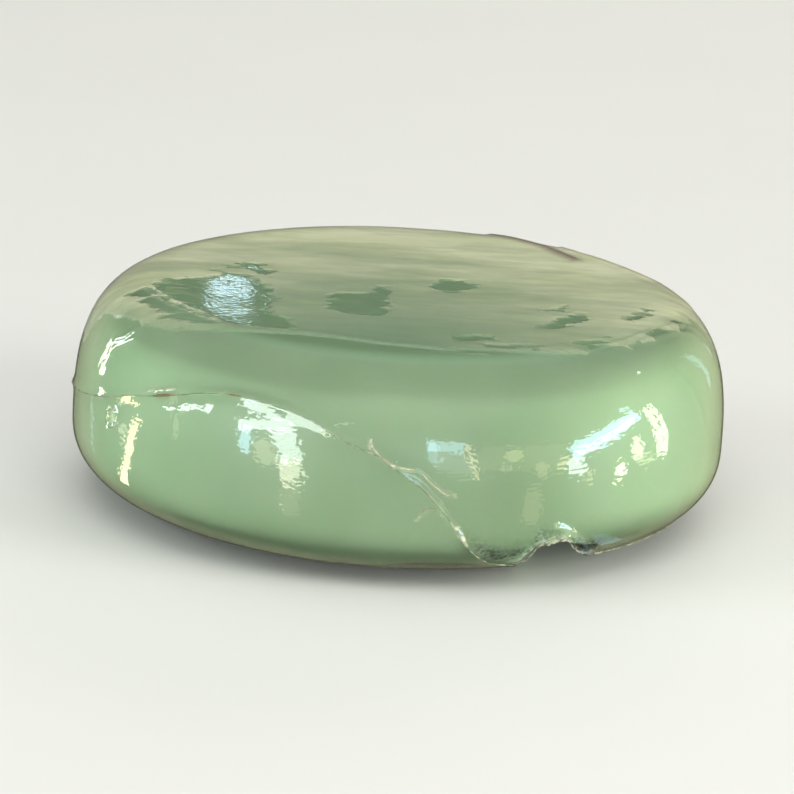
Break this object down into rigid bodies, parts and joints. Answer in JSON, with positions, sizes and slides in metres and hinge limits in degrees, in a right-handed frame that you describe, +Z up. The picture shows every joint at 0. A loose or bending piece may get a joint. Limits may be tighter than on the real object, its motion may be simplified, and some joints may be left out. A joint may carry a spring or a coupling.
{
  "type": "shaving soap puck",
  "caption": "Round cast shaving-soap puck with a domed shoulder, sealed in a welded bag of clear shrink film, chipped at the lower front edge.",
  "frame": {"origin": "middle of the base, on the surface that the puck rests on", "axes": "+Z up along the puck's axis; -Y is the front, which carries the descending seam and, on its right, the chip"},
  "size_m": [0.0644, 0.0642, 0.0214],
  "materials": {
    "soap": "translucent pale green cast glycerin soap, waxy and smooth",
    "film_upper": "clear shrink film, glossy, finely wrinkled, hazy over the top where it stands off the soap",
    "film_lower": "clear shrink film, glossy, finely wrinkled, clinging to the wall and base",
    "seal": "heat-welded film, milky and slightly yellow, with white stress marks"
  },
  "bodies": {
    "root": {"soap_puck": "soap", "film_upper_ply": "film_upper", "film_lower_ply": "film_lower", "film_seal_bead": "seal"}
  },
  "joints": []
}
